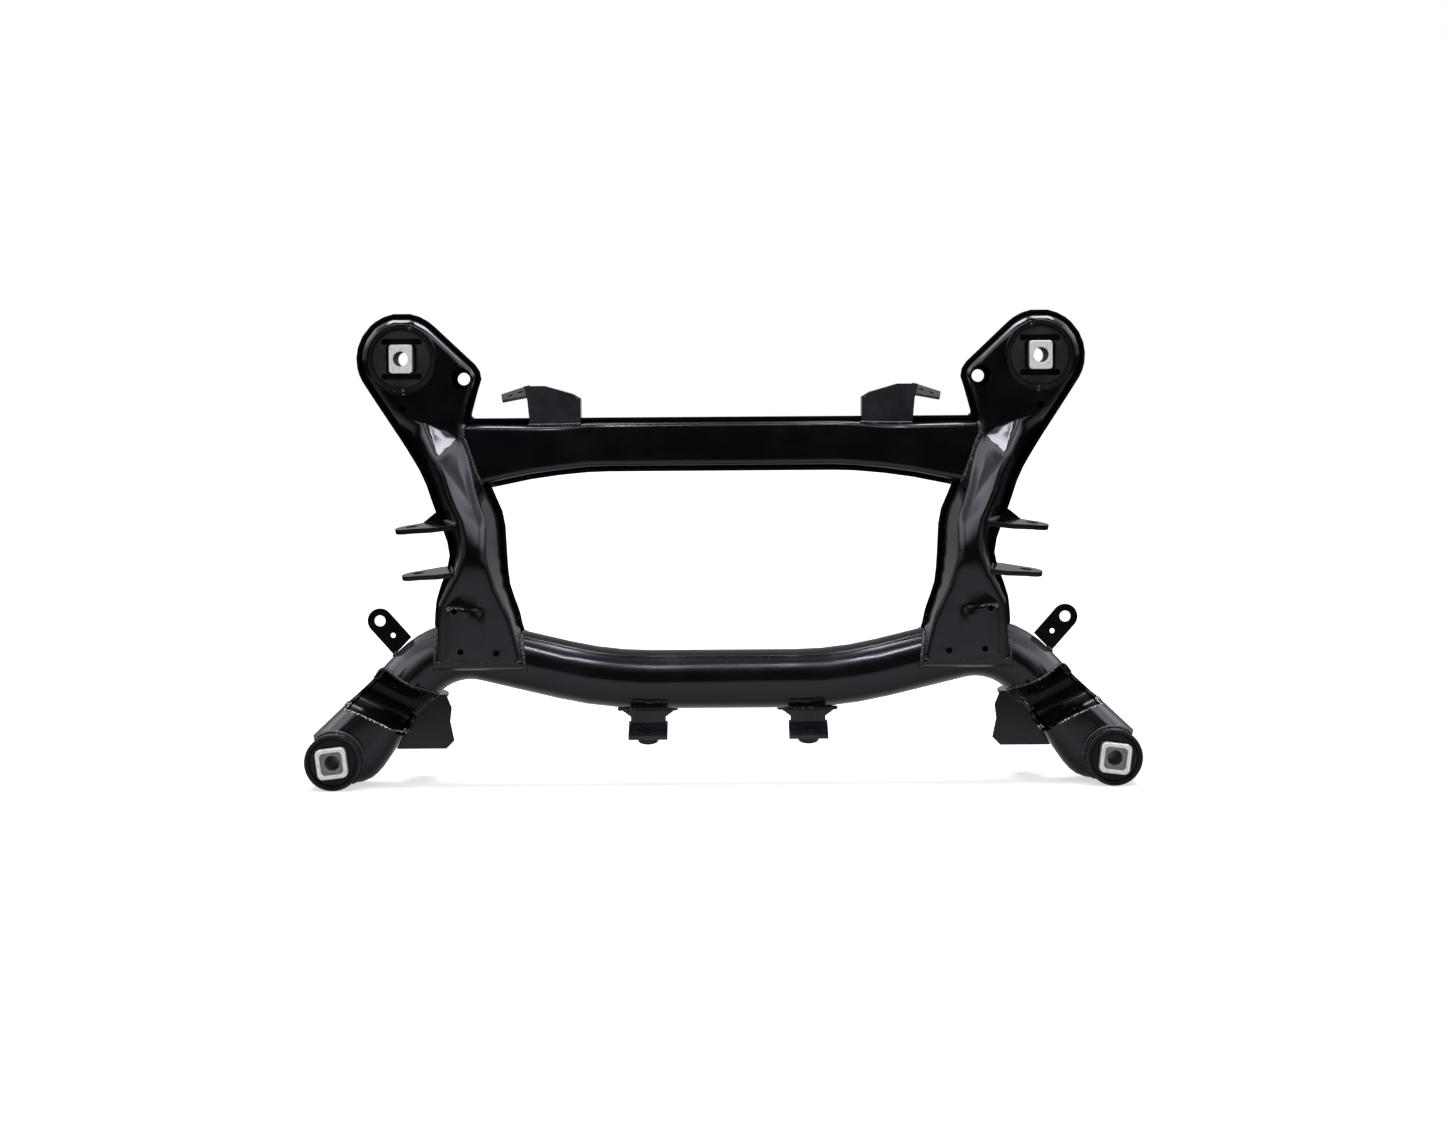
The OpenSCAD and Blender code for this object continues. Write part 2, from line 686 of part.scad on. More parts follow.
module arm_back_shell(side) {
  on_side(side) color(paint) difference() {
    along_arm() translate([0, fit / 2, 0]) mirror([0, 1, 0]) arm_shell();
    trough_rod(trough_r);
  }
}

module arm_trough(side) {
  on_side(side) color(paint) intersection() {
    along_arm() cylinder(r = tube_r - tube_wall - fit, h = arm_len);
    difference() {
      trough_rod(trough_r + trough_sheet);
      trough_rod(trough_r);
    }
  }
}

// Diameters inside a mount, from its ring inwards
function sleeve_d(housing_d, wall) = housing_d - 2 * wall - 2 * fit;
function rubber_d(housing_d, wall) = sleeve_d(housing_d, wall) - 2 * sleeve_wall - 2 * fit;

arm_core_w = rubber_d(arm_housing_d, arm_housing_wall) - 2 * arm_rubber_t;
arm_recess_w = arm_core_w - 2 * arm_core_rim;

module at_arm_bush(side) on_side(side) translate([arm_bush_x, 0, arm_z]) children();

module arm_bush_housing(side) {
  at_arm_bush(side) color(paint)
    ring(arm_housing_d, arm_housing_d - 2 * arm_housing_wall, arm_housing_front, arm_housing_back);
}

module arm_bush_sleeve(side) {
  d = sleeve_d(arm_housing_d, arm_housing_wall);
  at_arm_bush(side) color(bare_metal)
    ring(d, d - 2 * sleeve_wall, arm_housing_front - 1, arm_housing_back - 1);
}

module arm_bush_rubber(side) {
  at_arm_bush(side) color(rubber) difference() {
    rod(rubber_d(arm_housing_d, arm_housing_wall),
      arm_housing_front - rubber_recess, arm_housing_back - rubber_recess);
    rotate([0, arm_core_turn, 0]) rounded_block(arm_core_w + 2 * fit, arm_core_w + 2 * fit,
      arm_core_corner + fit, through, through);
  }
}

module arm_bush_core(side) {
  front = arm_housing_front + core_proud;
  back = arm_housing_back + core_proud;
  at_arm_bush(side) color(bare_metal) rotate([0, arm_core_turn, 0]) difference() {
    rounded_block(arm_core_w, arm_core_w, arm_core_corner, front, back);
    rod(core_hole_d, through, through);
    translate([0, -front, 0]) rounded_block(arm_recess_w, arm_recess_w,
      arm_core_corner - arm_core_rim / 3, 1, arm_core_recess_depth);
  }
}

// Outline of the side member, up the outer edge and back down the inner edge
function leg_out(z) = z > ear_out_z
  ? ear_bush_x + sqrt(ear_r * ear_r - (z - ear_bush_z) * (z - ear_bush_z))
  : curve(leg_outer_edge, z);
function leg_in(z) =
  z <= corner_z ? curve(leg_inner_edge, z)
  : z <= corner_top_z ? corner_x - sqrt(corner_r * corner_r - (z - corner_z) * (z - corner_z))
  : z <= slope_top_z ? corner_top_x
    + (slope_top_x - corner_top_x) * (z - corner_top_z) / (slope_top_z - corner_top_z)
  : ear_bush_x - sqrt(ear_r * ear_r - (z - ear_bush_z) * (z - ear_bush_z));
leg_outline = concat(
  [for (z = leg_levels) [leg_out(z), z]],
  [for (k = [len(leg_levels) - 1:-1:0]) [leg_in(leg_levels[k]), leg_levels[k]]]
);
leg_half = len(leg_levels);
function leg_level(i) = leg_levels[i < leg_half ? i : 2 * leg_half - 1 - i];

// Walls of the front shell; deep moves the skin inwards by the sheet, grow moves it outwards
function leg_front_walls(deep, grow) =
  [for (i = [0:2 * leg_half - 1]) let (
      z = leg_level(i),
      dir = inward(leg_outline, i),
      outer_side = i < leg_half,
      draft = lookup(z, outer_side ? outer_draft : inner_draft),
      reach = lookup(z, outer_side ? outer_reach : inner_reach),
      base = leg_outline[i] + (deep - grow) * dir,
      edge = base + draft * dir
    )
    pressed_wall(base, edge, dir, rim_at(base), -reach + deep - grow, skin_r(deep), 3)];

// Walls of the back shell, drawn facing forward and outside the front shell
function leg_back_walls(deep, grow) =
  [for (i = [0:2 * leg_half - 1]) let (
      dir = inward(leg_outline, i),
      base = leg_outline[i] + (deep - grow - shell_t - fit) * dir,
      edge = base + press_r / 2 * dir,
      reach = lookup(leg_level(i), back_reach)
    )
    pressed_wall(base, edge, dir, rim_at(base), -reach + deep - grow, skin_r(deep), 3)];

// The shells of a side member as solids with room around them
module front_shell_room() lump(leg_front_walls(0, fit));
module back_shell_room() mirror([0, 1, 0]) lump(leg_back_walls(0, fit));

// Raised pad on the foot, with sloping sides and one rounded corner
pad_out = foot_out - 2 * press_r;
pad_in = pad_out - pad_w;
pad_low = foot_z + 2 * press_r;
pad_columns = [
  pad_out, pad_out - pad_h, pad_in + pad_round, pad_in + pad_round / 2,
  pad_in + pad_h, pad_in, pad_in - pad_h
];
function pad_rise(x, z) =
  let (
    from_side = x - pad_in + press_r * (instep_z - z) / instep_rise,
    from_top = instep_z - z,
    near_corner = from_side < pad_round && from_top < pad_round,
    from_corner = pad_round - norm([pad_round - from_side, pad_round - from_top]),
    inside = near_corner ? from_corner : min(from_side, from_top)
  )
  max(0, min(pad_h, inside, pad_out - x, z - pad_low + pad_h));

// Share of the way across the front face at which a column stands; on the facet under the ear
// the middle column follows the ridge
columns = len(pad_columns);
function facet_up(z) = min(1, max(0, (z - neck_z) / (brow_z - neck_z)));
function column_share(k, z) =
  let (
    half = (columns + 1) / 2,
    split = min(0.94, max(0.06, facet_up(z)))
  )
  z < neck_z || z > brow_z ? (k + 1) / (columns + 1)
  : k < half ? split * (k + 1) / half
  : split + (1 - split) * (k + 1 - half) / half;

// Points across the front face at each level: the pad on the foot, and two faces that meet in
// a ridge from the neck's outer edge to the ear's inner corner
function leg_crown(walls) =
  [for (k = [0:leg_half - 1]) let (
      z = leg_levels[k],
      last = len(walls[0]) - 1,
      a = walls[k][last],
      b = walls[2 * leg_half - 1 - k][last],
      up = facet_up(z)
    )
    [for (c = [0:columns - 1]) let (
        u = column_share(c, z),
        p = a + (b - a) * u,
        x = z > instep_z ? p[0] : min(a[0] - 1, max(b[0] + 1, pad_columns[c])),
        ridge = (neck_front - neck_inner_front) * min(u * (1 - up), up * (1 - u))
      )
      [x, p[1] - pad_rise(x, z) - ridge, p[2]]]];

module on_foot() translate([0, -foot_front, foot_z]) rotate([90 + foot_tilt, 0, 0]) children();
foot_holes = [
  [pad_out - 1.5 * foot_hole_d, instep_rise - 1.2 * foot_hole_d],
  [pad_out - 2.4 * foot_hole_d, 3.3 * foot_hole_d],
  [pad_in - 2 * foot_hole_d, 2.9 * foot_hole_d]
];

module side_member_front_shell(side) {
  skin = leg_front_walls(0, 0);
  lining = leg_front_walls(shell_t, 0);
  on_side(side) color(paint) difference() {
    sheet(skin, lining, crown = [leg_crown(skin), leg_crown(lining)]);
    on_foot() for (p = foot_holes) translate(p)
      cylinder(d = foot_hole_d, h = 4 * (shell_t + pad_h), center = true);
    translate([ear_bush_x, 0, ear_bush_z]) rod(ear_housing_d + 2 * fit, through, 0);
    translate([corner_x, 0, corner_z]) rod(corner_front_d, through, 0);
    translate([ear_bush_x, 0, ear_bush_z - ear_r - drain_hole_d]) rod(drain_hole_d, through, 0);
  }
}

module side_member_back_shell(side) {
  on_side(side) color(paint) difference() {
    mirror([0, 1, 0]) sheet(leg_back_walls(0, 0), leg_back_walls(shell_t, 0));
    translate([ear_bush_x, 0, ear_bush_z]) rod(ear_housing_d + 2 * fit, 0, through);
    translate([corner_x, 0, corner_z]) rod(corner_back_d, 0, through);
  }
}

module at_ear_bush(side) on_side(side) translate([ear_bush_x, 0, ear_bush_z]) children();

ear_ring_front = ear_front + ear_housing_proud;
ear_ring_back = ear_back + ear_housing_proud;

module ear_bush_housing(side) {
  at_ear_bush(side) color(paint)
    ring(ear_housing_d, ear_housing_d - 2 * ear_housing_wall, ear_ring_front, ear_ring_back);
}

module ear_bush_sleeve(side) {
  d = sleeve_d(ear_housing_d, ear_housing_wall);
  at_ear_bush(side) color(bare_metal)
    ring(d, d - 2 * sleeve_wall, ear_ring_front - 1, ear_ring_back - 1);
}

module ear_bush_rubber(side) {
  front = ear_ring_front - rubber_recess;
  back = ear_ring_back - rubber_recess;
  middle = (back - front) / 2;
  groove_w = ear_core_w + 2 * ear_groove_w;
  void_z = ear_core_h / 2 + ear_void_h / 2 + fit;
  at_ear_bush(side) color(rubber) difference() {
    rod(rubber_d(ear_housing_d, ear_housing_wall), front, back);
    rounded_block(ear_core_w + 2 * fit, ear_core_h + 2 * fit, ear_core_corner + fit, through, through);
    for (up = [-1, 1]) translate([0, 0, up * void_z]) {
      rounded_block(ear_void_w, ear_void_h, ear_void_h / 3, through, middle - ear_void_web / 2);
      rounded_block(ear_void_w, ear_void_h, ear_void_h / 3, -middle - ear_void_web / 2, through);
    }
    translate([0, -front, 0])
      rounded_block(groove_w, ear_core_h, ear_core_corner, 1, ear_groove_depth);
    translate([0, back, 0])
      rounded_block(groove_w, ear_core_h, ear_core_corner, ear_groove_depth, 1);
  }
}

module ear_bush_core(side) {
  at_ear_bush(side) color(bare_metal) difference() {
    rounded_block(ear_core_w, ear_core_h, ear_core_corner,
      ear_ring_front + core_proud, ear_ring_back + core_proud);
    rod(core_hole_d, through, through);
  }
}

// Outline of the rear cross member, rightwards along its lower edge and back along its upper edge
cross_end_x = cross_top_x + press_r;
cross_stops = [1, 0.93, 0.84, 0.74, 0.63, 0.52, 0.44];
cross_steps = concat([for (s = cross_stops) -s], [for (k = [len(cross_stops) - 1:-1:0]) cross_stops[k]]);
cross_low_edge = [
  [0, cross_low], [0.5, cross_low], [0.75, cross_low - cross_end_drop / 2.2],
  [0.91, cross_end_z], [1, cross_end_z - shell_t]
];
cross_lip_drop = [
  [0, cross_lip - 1.5 * cross_lip_wave], [0.5, cross_lip - cross_lip_wave],
  [0.65, cross_lip + cross_lip_wave], [1, cross_lip]
];
cross_reach = [
  [0, cross_front - cross_dish], [0.5, cross_front - cross_dish], [0.63, cross_front], [1, cross_front]
];
cross_outline = concat(
  [for (s = cross_steps) [s * cross_end_x, curve(cross_low_edge, abs(s))]],
  [for (k = [len(cross_steps) - 1:-1:0]) [cross_steps[k] * cross_end_x, cross_top]]
);
cross_half = len(cross_steps);
function cross_step(i) = abs(cross_steps[i < cross_half ? i : 2 * cross_half - 1 - i]);

function cross_front_walls(deep, grow) =
  [for (i = [0:2 * cross_half - 1]) let (
      s = cross_step(i),
      dir = [0, i < cross_half ? 1 : -1],
      base = cross_outline[i] + (deep - grow) * dir,
      drop = i < cross_half ? press_r / 2 : lookup(s, cross_lip_drop)
    )
    pressed_wall(base, base + drop * dir, dir, seam_lap, -lookup(s, cross_reach) + deep - grow,
      skin_r(deep), 3)];

function cross_back_walls(deep, grow) =
  [for (i = [0:2 * cross_half - 1]) let (
      dir = [0, i < cross_half ? 1 : -1],
      base = cross_outline[i] + (deep - grow - shell_t - fit) * dir
    )
    pressed_wall(base, base + press_r / 2 * dir, dir, 0, -cross_back + deep - grow,
      skin_r(deep), 3)];

module cross_room() {
  lump(cross_front_walls(0, fit));
  mirror([0, 1, 0]) lump(cross_back_walls(0, fit));
}

module rear_cross_front_shell() {
  color(paint) difference() {
    sheet(cross_front_walls(0, 0), cross_front_walls(shell_t, 0), open_start = true, open_end = true);
    on_side(left) front_shell_room();
    on_side(right) front_shell_room();
    on_side(left) back_shell_room();
    on_side(right) back_shell_room();
  }
}

module rear_cross_back_shell() {
  color(paint) difference() {
    mirror([0, 1, 0])
      sheet(cross_back_walls(0, 0), cross_back_walls(shell_t, 0), open_start = true, open_end = true);
    on_side(left) front_shell_room();
    on_side(right) front_shell_room();
    on_side(left) back_shell_room();
    on_side(right) back_shell_room();
  }
}

// Frame of the upper link clevis: origin on the bolt's axis, midway between the plates
module at_clevis() {
  translate([clevis_bolt_x, -clevis_bolt_front, clevis_z]) rotate([clevis_tilt, clevis_fall, 0]) children();
}

clevis_root = crest_out - clevis_bolt_x;
module clevis_plate(level) {
  back = 1.4 * clevis_end_r;
  front = -1.7 * clevis_end_r;
  at_clevis() translate([0, 0, level]) difference() {
    linear_extrude(clevis_t) polygon(concat(
      [[-1.2 * clevis_end_r, back], [clevis_root - clevis_t, back],
        [clevis_root - 3 * clevis_t, front], [-1.2 * clevis_end_r, front]],
      [for (a = [-90:15:90]) clevis_end_r * [cos(a), sin(a)]]
    ));
    cylinder(d = clevis_hole_d, h = 4 * clevis_t, center = true);
  }
}

// Upturned lug that ties the rear plate to the leg's side
module clevis_lug() {
  at_clevis() translate([clevis_root, 1.4 * clevis_end_r, clevis_gap / 2]) rotate([90, 0, 0])
    linear_extrude(clevis_t)
      polygon([[-clevis_t, 0], [clevis_lug_w, 0], [0.4 * clevis_lug_w, clevis_lug_h],
        [-clevis_t, clevis_lug_h]]);
}

module upper_link_rear_plate(side) {
  on_side(side) color(paint) difference() {
    union() {
      clevis_plate(clevis_gap / 2);
      clevis_lug();
    }
    front_shell_room();
    back_shell_room();
  }
}

module upper_link_front_plate(side) {
  on_side(side) color(paint) difference() {
    clevis_plate(-clevis_gap / 2 - clevis_t);
    front_shell_room();
    back_shell_room();
  }
}

// Folded clevis behind the arm: a web that faces forward and two ears that run back
module lower_link_bracket(side) {
  low_h = low_gap + 2 * low_t;
  edge = 2 * low_t - low_half_w;
  on_side(side) color(paint) difference() {
    union() {
      translate([low_bolt_x, low_web_y + low_t, low_z]) rotate([90, 0, 0]) linear_extrude(low_t)
        polygon([[edge, 0], [low_half_w, 0], [low_half_w, low_h], [edge, low_h],
          [edge - 1.4 * low_t, 0.75 * low_h], [edge - low_t, low_h / 2], [-low_half_w, 2 * low_t]]);
      for (level = [0, low_gap + low_t]) translate([low_bolt_x, low_web_y + low_t, low_z + level])
        linear_extrude(low_t) polygon([[edge, -low_t], [low_half_w, -low_t],
          [low_half_w, low_ear_len * 0.6], [low_half_w * 0.6, low_ear_len],
          [-low_half_w * 0.5, low_ear_len], [edge, low_ear_len * 0.6]]);
    }
    translate([low_bolt_x, low_web_y + low_t + low_bolt_back, low_z])
      cylinder(d = low_hole_d, h = 4 * low_h, center = true);
    arm_room();
    along_arm() cylinder(r = tube_r + fit, h = 2 * arm_len);
    shoulder_room();
  }
}

// Folded bracket: a web on the cross member, a folded roof and a twisted wing with two bolt holes
stab_top = cross_top + stab_h;
stab_inner = stab_x - stab_w / 2;
stab_outer = stab_x + stab_w / 2;
stab_back = stab_depth + press_r - cross_front;
module on_stab_wing() {
  translate([stab_outer, stab_back, stab_top]) rotate([0, stab_wing_fall, 0]) rotate([stab_wing_tilt, 0, 0])
    children();
}

module stabiliser_bracket(side) {
  root = cross_top - 2 * shell_t - stab_fold;
  peak = stab_x + stab_fold / 2;
  half_t = stab_t / 2;
  edge = stab_inner - stab_fold;
  roof = [
    [edge, root], [edge, stab_top - 1.6 * stab_fold], [stab_inner, stab_top - stab_fold],
    [peak, stab_top], [stab_outer, stab_top]
  ];
  under = [for (k = [len(roof) - 1:-1:0])
    roof[k] + stab_t * (k < 2 ? [1, 0] : k == 2 ? [0.7, -0.7] : [0, -1])];
  on_side(side) color(paint) difference() {
    union() {
      translate([0, stab_back, 0]) rotate([90, 0, 0]) linear_extrude(stab_depth)
        polygon(concat(roof, under));
      translate([0, stab_back - stab_depth + stab_t, 0]) rotate([90, 0, 0]) linear_extrude(stab_t)
        polygon([[edge + half_t, root], [stab_outer - 0.8 * stab_fold, root],
          [stab_outer - 0.4 * stab_fold, stab_top - 1.8 * stab_fold], [stab_outer, stab_top - half_t],
          [peak, stab_top - half_t], [stab_inner, stab_top - stab_fold - half_t],
          [edge + half_t, stab_top - 1.6 * stab_fold - half_t]]);
      on_stab_wing() translate([0, 0, -stab_t]) linear_extrude(stab_t)
        polygon([[-stab_fold / 2, -stab_depth], [stab_wing, -0.6 * stab_depth], [stab_wing, 0],
          [-stab_fold / 2, 0]]);
    }
    on_stab_wing() for (f = [0.24, 0.66]) translate([f * stab_wing, -0.4 * stab_depth, 0])
      cylinder(d = stab_hole_d, h = 4 * stab_t, center = true);
    cross_room();
  }
}

// Flat tab that stands out from the shoulder bend
module line_tab(side) {
  root = tube_bend_r + tube_r * 0.8;
  tip = tube_bend_r + tube_r + tab_reach;
  r = tab_w / 2;
  hole_at = tip - r;
  on_side(side) color(paint) difference() {
    translate([bend_x, 0, bend_z]) rotate([90, 0, 0]) rotate([0, 0, tab_angle]) linear_extrude(tab_t)
      difference() {
        polygon(concat([[root, -r], [hole_at, -r]],
          [for (a = [-75:15:75]) [hole_at, 0] + r * [cos(a), sin(a)]], [[hole_at, r], [root, r]]));
        translate([hole_at, 0]) circle(d = tab_hole_d);
        translate([hole_at - tab_hole_step, 0]) circle(d = tab_small_hole_d);
      }
    shoulder_room();
    along_arm() cylinder(r = tube_r + fit, h = 2 * arm_len);
  }
}

// Frame of a differential bracket's shelf: origin at its root, +Z its upper face
diff_low = tube_z - tube_r - diff_drop;
module at_shelf(side) {
  translate([diff_offset + side * diff_spacing / 2, 0, diff_low]) rotate([diff_tilt, 0, 0]) children();
}

module differential_bracket(side) {
  foot = diff_shelf_w / 2 - diff_t / 2;
  head = diff_top_w / 2;
  root = diff_drop + 2 * diff_t;
  color(paint) difference() {
    union() {
      translate([diff_offset + side * diff_spacing / 2, diff_t, diff_low]) rotate([90, 0, 0])
        linear_extrude(diff_t) polygon([[-foot, -diff_t], [foot, -diff_t], [foot, 0.4 * diff_drop],
          [head, diff_drop], [head, root], [-head, root], [-head, diff_drop], [-foot, 0.4 * diff_drop]]);
      at_shelf(side) translate([-diff_shelf_w / 2, -diff_shelf_depth, -diff_t])
        cube([diff_shelf_w, diff_shelf_depth + diff_t, diff_t]);
    }
    at_shelf(side) translate([0, -diff_shelf_depth / 2, 0])
      cylinder(d = diff_hole_d, h = 4 * diff_t, center = true);
    rotate([0, 90, 0]) translate([-tube_z, 0, 0]) cylinder(r = tube_r + fit, h = through, center = true);
    for (s = [left, right]) on_side(s) translate([tube_flat, 0, tube_z + tube_long_r])
      rotate([90, 0, 0]) rotate([0, 0, -90])
        rotate_extrude(angle = tube_rise) translate([tube_long_r, 0]) circle(tube_r + fit);
  }
}

module differential_nut(side) {
  color(bare_metal) at_shelf(side) translate([0, -diff_shelf_depth / 2, -diff_t - fit]) difference() {
    translate([0, 0, -diff_nut_h]) cylinder(d = diff_nut_d, h = diff_nut_h);
    cylinder(d = diff_nut_hole_d, h = 4 * diff_nut_h, center = true);
  }
}

module placed() translate([0, depth_shift, 0]) children();

placed() front_cross_tube();
placed() arm_front_shell(left);  // arm_front_shell_left
placed() arm_front_shell(right);  // arm_front_shell_right
placed() arm_back_shell(left);  // arm_back_shell_left
placed() arm_back_shell(right);  // arm_back_shell_right
placed() arm_trough(left);  // arm_trough_left
placed() arm_trough(right);  // arm_trough_right
placed() arm_bush_housing(left);  // arm_bush_housing_left
placed() arm_bush_housing(right);  // arm_bush_housing_right
placed() arm_bush_sleeve(left);  // arm_bush_sleeve_left
placed() arm_bush_sleeve(right);  // arm_bush_sleeve_right
placed() arm_bush_rubber(left);  // arm_bush_rubber_left
placed() arm_bush_rubber(right);  // arm_bush_rubber_right
placed() arm_bush_core(left);  // arm_bush_core_left
placed() arm_bush_core(right);  // arm_bush_core_right
placed() side_member_front_shell(left);  // side_member_front_shell_left
placed() side_member_front_shell(right);  // side_member_front_shell_right
placed() side_member_back_shell(left);  // side_member_back_shell_left
placed() side_member_back_shell(right);  // side_member_back_shell_right
placed() ear_bush_housing(left);  // ear_bush_housing_left
placed() ear_bush_housing(right);  // ear_bush_housing_right
placed() ear_bush_sleeve(left);  // ear_bush_sleeve_left
placed() ear_bush_sleeve(right);  // ear_bush_sleeve_right
placed() ear_bush_rubber(left);  // ear_bush_rubber_left
placed() ear_bush_rubber(right);  // ear_bush_rubber_right
placed() ear_bush_core(left);  // ear_bush_core_left
placed() ear_bush_core(right);  // ear_bush_core_right
placed() rear_cross_front_shell();
placed() rear_cross_back_shell();
placed() upper_link_rear_plate(left);  // upper_link_rear_plate_left
placed() upper_link_rear_plate(right);  // upper_link_rear_plate_right
placed() upper_link_front_plate(left);  // upper_link_front_plate_left
placed() upper_link_front_plate(right);  // upper_link_front_plate_right
placed() lower_link_bracket(left);  // lower_link_bracket_left
placed() lower_link_bracket(right);  // lower_link_bracket_right
placed() stabiliser_bracket(left);  // stabiliser_bracket_left
placed() stabiliser_bracket(right);  // stabiliser_bracket_right
placed() line_tab(left);  // line_tab_left
placed() line_tab(right);  // line_tab_right
placed() differential_bracket(left);  // differential_bracket_left
placed() differential_bracket(right);  // differential_bracket_right
placed() differential_nut(left);  // differential_nut_left
placed() differential_nut(right);  // differential_nut_right
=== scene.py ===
import json
import math

import bpy
from mathutils import Matrix, Vector
from mathutils.bvhtree import BVHTree


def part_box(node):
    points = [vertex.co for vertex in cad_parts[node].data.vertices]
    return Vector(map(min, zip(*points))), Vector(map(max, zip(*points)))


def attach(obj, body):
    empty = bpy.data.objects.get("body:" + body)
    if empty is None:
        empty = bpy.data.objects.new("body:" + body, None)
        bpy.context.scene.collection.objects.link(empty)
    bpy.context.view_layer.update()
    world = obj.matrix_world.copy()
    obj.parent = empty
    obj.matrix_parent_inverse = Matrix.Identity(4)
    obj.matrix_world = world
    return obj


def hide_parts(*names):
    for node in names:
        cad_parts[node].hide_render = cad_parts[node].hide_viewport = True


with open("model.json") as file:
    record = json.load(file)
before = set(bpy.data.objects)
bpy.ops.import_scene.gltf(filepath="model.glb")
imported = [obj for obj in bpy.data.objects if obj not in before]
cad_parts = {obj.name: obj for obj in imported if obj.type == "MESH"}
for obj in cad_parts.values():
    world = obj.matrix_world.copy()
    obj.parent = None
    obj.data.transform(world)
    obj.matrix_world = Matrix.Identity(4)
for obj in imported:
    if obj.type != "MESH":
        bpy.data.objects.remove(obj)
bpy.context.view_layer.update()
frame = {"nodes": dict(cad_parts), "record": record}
nodes = frame["nodes"]
sides = {"left": -1, "right": 1}
print("frame loaded with", len(nodes), "nodes")


# selection and mesh helpers

def deselectAll():
    bpy.ops.object.select_all(action="DESELECT")


def pick(piece):
    deselectAll()
    piece.select_set(True)
    bpy.context.view_layer.objects.active = piece


def applyModifiers(piece):
    pick(piece)
    for name in [m.name for m in piece.modifiers]:
        bpy.ops.object.modifier_apply(modifier=name)


def smoothEdges(piece, degrees):
    pick(piece)
    bpy.ops.object.shade_smooth_by_angle(angle=math.radians(degrees))


def finishPiece(piece, material):
    piece.data.materials.clear()
    piece.data.materials.append(material)
    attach(piece, "root")


# shader building: a socket that takes part in sums, and a builder that adds nodes

class Value:
    def __init__(self, tree, socket):
        self.tree = tree
        self.socket = socket

    def join(self, operation, first, second):
        node = self.tree.nodes.new("ShaderNodeMath")
        node.operation = operation
        for place, item in enumerate((first, second)):
            if isinstance(item, Value):
                self.tree.links.new(item.socket, node.inputs[place])
            else:
                node.inputs[place].default_value = item
        return Value(self.tree, node.outputs[0])

    def __add__(self, other):
        return self.join("ADD", self, other)

    def __radd__(self, other):
        return self.join("ADD", other, self)

    def __sub__(self, other):
        return self.join("SUBTRACT", self, other)

    def __rsub__(self, other):
        return self.join("SUBTRACT", other, self)

    def __mul__(self, other):
        return self.join("MULTIPLY", self, other)

    def __rmul__(self, other):
        return self.join("MULTIPLY", other, self)

    def __truediv__(self, other):
        return self.join("DIVIDE", self, other)

    def __pow__(self, other):
        return self.join("POWER", self, other)

    def atMost(self, other):
        return self.join("MINIMUM", self, other)

    def atLeast(self, other):
        return self.join("MAXIMUM", self, other)


def grey(shade):
    return (shade, shade, shade, 1)


class Finish:
    def __init__(self, name, tree=None):
        if tree is None:
            self.material = bpy.data.materials.new(name)
            self.material.use_nodes = True
            tree = self.material.node_tree
        self.tree = tree
        tree.nodes.clear()

    def node(self, kind, settings=None, sockets=None, output=0):
        node = self.tree.nodes.new(kind)
        for name, value in (settings or {}).items():
            if name == "stops":
                ramp = node.color_ramp.elements
                while len(ramp) < len(value):
                    ramp.new(0.5)
                for element, (place, shade) in zip(ramp, value):
                    element.position = place
                    element.color = grey(shade)
            else:
                setattr(node, name, value)
        for name, value in (sockets or {}).items():
            socket = node.inputs[name]
            if isinstance(value, Value):
                self.tree.links.new(value.socket, socket)
            else:
                socket.default_value = value
        return Value(self.tree, node.outputs[output]) if len(node.outputs) else None

    def place(self):
        return self.node("ShaderNodeTexCoord", output="Object")

    def axes(self, place):
        return [self.node("ShaderNodeSeparateXYZ", None, {"Vector": place}, axis) for axis in "XYZ"]

    def rays(self):
        camera, glossy, through = [self.node("ShaderNodeLightPath", output="Is " + kind + " Ray")
                                   for kind in ("Camera", "Glossy", "Transmission")]
        return (camera + through).atMost(1.0), glossy

    def noise(self, place, scale, detail, roughness=0.55):
        return self.node("ShaderNodeTexNoise", None,
                         {"Vector": place, "Scale": scale, "Detail": detail, "Roughness": roughness}, "Fac")

    def ramp(self, value, stops):
        return self.node("ShaderNodeValToRGB", {"stops": stops}, {"Fac": value})

    def rise(self, value, low, high):
        return self.ramp(value, [(low, 0), (high, 1)])

    def colour(self, factor, low, high):
        low, high = [shade if isinstance(shade, Value) else (*shade, 1) for shade in (low, high)]
        return self.node("ShaderNodeMix", {"data_type": "RGBA"}, {0: factor, 6: low, 7: high}, 2)

    def bump(self, height, strength, distance, normal=None):
        sockets = {"Height": height, "Strength": strength, "Distance": distance}
        if normal is not None:
            sockets["Normal"] = normal
        return self.node("ShaderNodeBump", None, sockets)

    def surface(self, sockets):
        shader = self.node("ShaderNodeBsdfPrincipled", None, sockets)
        self.node("ShaderNodeOutputMaterial", None, {"Surface": shader})
        return self.material


# finishes: a noise is scale, detail and roughness, an edge is its start and end, a bump is strength and depth

gloss = {"base": (0.0018, 0.0018, 0.0023), "dust": (0.0065, 0.0063, 0.0075), "chipAndGlint": (0.55, 0.55, 0.55),
         "tint": (0.84, 0.82, 1.0, 1), "smooth": 0.15, "rough": 0.24, "chipAndGlintRough": 0.3,
         "coat": 0.25, "coatRough": 0.06, "specular": 0.5, "cloud": (14, 4),
         "haze": (30, 4, 0.5), "hazeEdge": (0.40, 0.75),
         "grit": (520, 2), "gritEdge": (0.66, 0.72), "gritShift": 0.08,  # flecks lower both edges
         "patch": (45, 3), "patchEdge": (0.60, 0.74), "patchShift": 0.3,  # flecks lower the start
         "wave": (18, 2), "waveBump": (0.05, 0.003), "peel": (900, 2), "peelBump": (0.04, 0.0003)}


